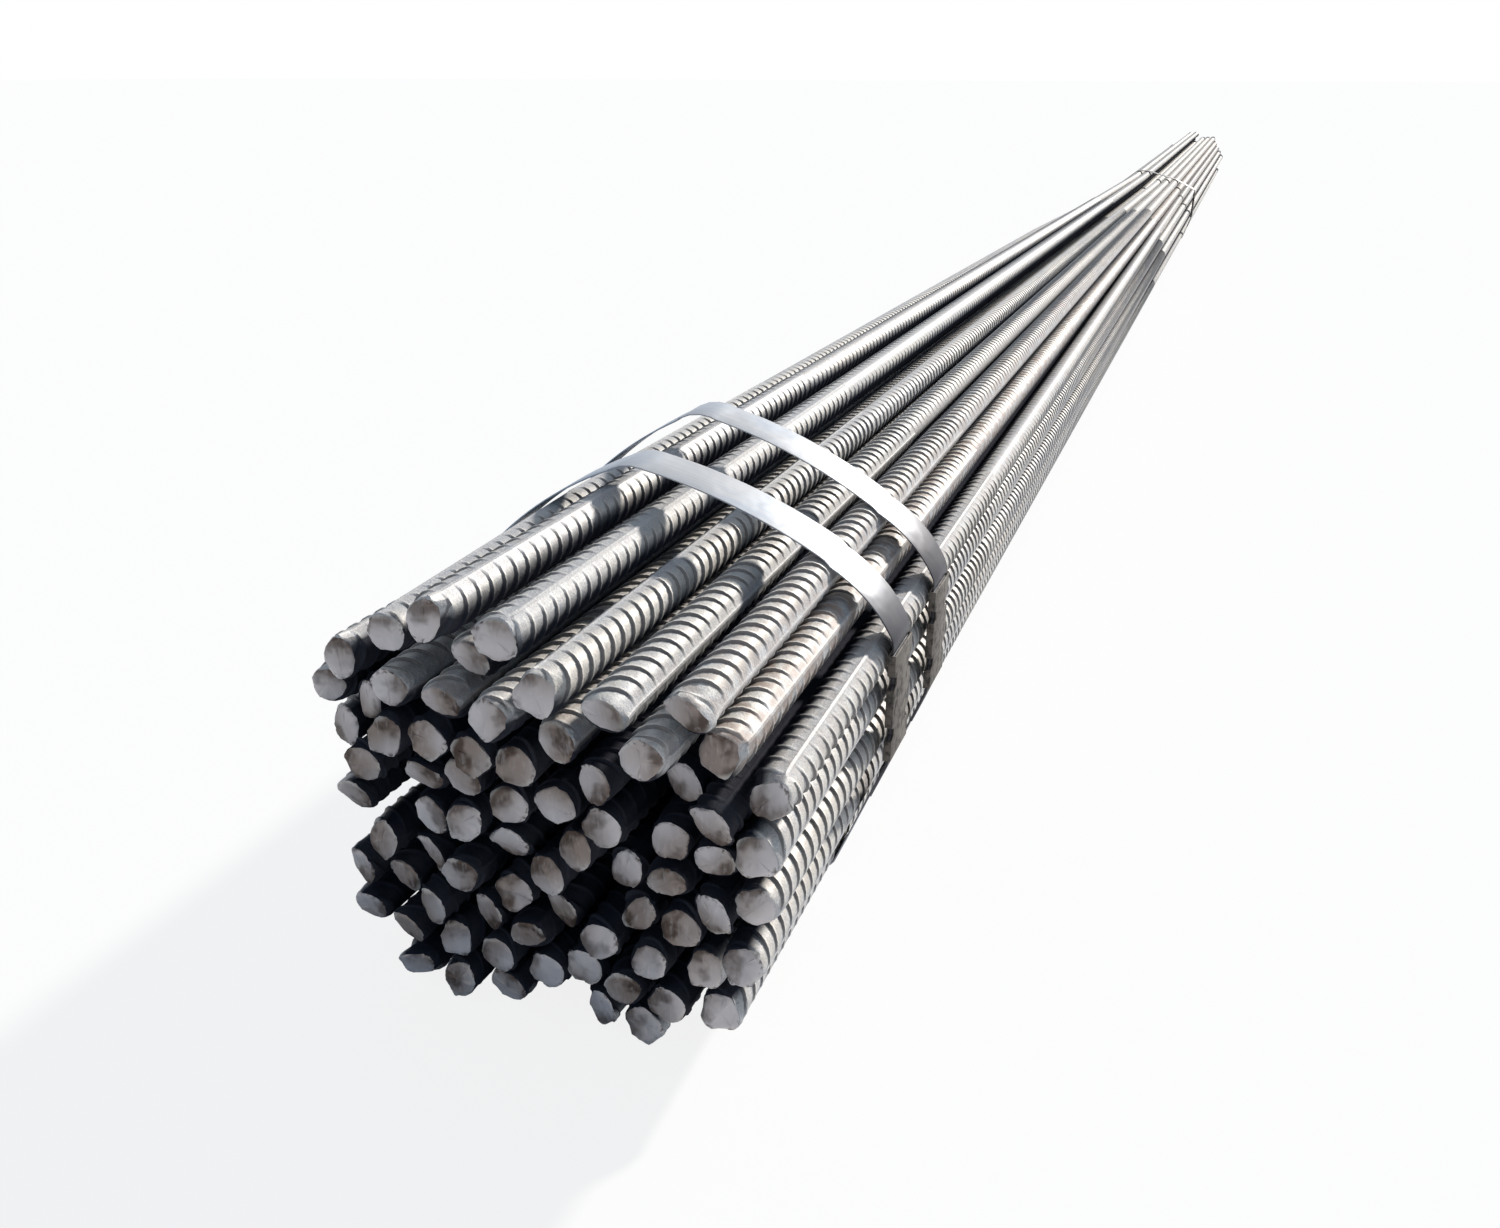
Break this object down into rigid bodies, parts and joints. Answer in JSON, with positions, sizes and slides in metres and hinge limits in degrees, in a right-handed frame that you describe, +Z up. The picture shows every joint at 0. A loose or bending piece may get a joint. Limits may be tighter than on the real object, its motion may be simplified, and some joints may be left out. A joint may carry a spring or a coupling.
{
  "type": "rebar bundle",
  "caption": "Bundle of ribbed steel reinforcing bars with staggered sheared ends, held by flat steel straps with crimped seals, lying on its side.",
  "frame": {"origin": "centre of the bounding box's bottom face, on the floor", "axes": "+Z up; the bars lie along Y with their nearly flush cut ends towards -Y; +X is the side with the crimped seals"},
  "size_m": [0.2764, 6.095, 0.2713],
  "materials": {
    "bar_steel": "hot-rolled, mill grey with light rust",
    "strap_steel": "bright zinc-like",
    "seal_steel": "dull, dirty brown-grey"
  },
  "bodies": {
    "root": {"bar_01": "bar_steel", "bar_02": "bar_steel", "bar_03": "bar_steel", "bar_04": "bar_steel", "bar_05": "bar_steel", "bar_06": "bar_steel", "bar_07": "bar_steel", "bar_08": "bar_steel", "bar_09": "bar_steel", "bar_10": "bar_steel", "bar_11": "bar_steel", "bar_12": "bar_steel", "bar_13": "bar_steel", "bar_14": "bar_steel", "bar_15": "bar_steel", "bar_16": "bar_steel", "bar_17": "bar_steel", "bar_18": "bar_steel", "bar_19": "bar_steel", "bar_20": "bar_steel", "bar_21": "bar_steel", "bar_22": "bar_steel", "bar_23": "bar_steel", "bar_24": "bar_steel", "bar_25": "bar_steel", "bar_26": "bar_steel", "bar_27": "bar_steel", "inner_bars_layer_2": "bar_steel", "inner_bars_layer_3": "bar_steel", "inner_bars_layer_4": "bar_steel", "inner_bars_layer_5": "bar_steel", "inner_bars_layer_6": "bar_steel", "inner_bars_layer_7": "bar_steel", "inner_bars_layer_8": "bar_steel", "strap_1": "strap_steel", "seal_1": "seal_steel", "strap_2": "strap_steel", "seal_2": "seal_steel", "strap_3": "strap_steel", "seal_3": "seal_steel"}
  },
  "joints": []
}
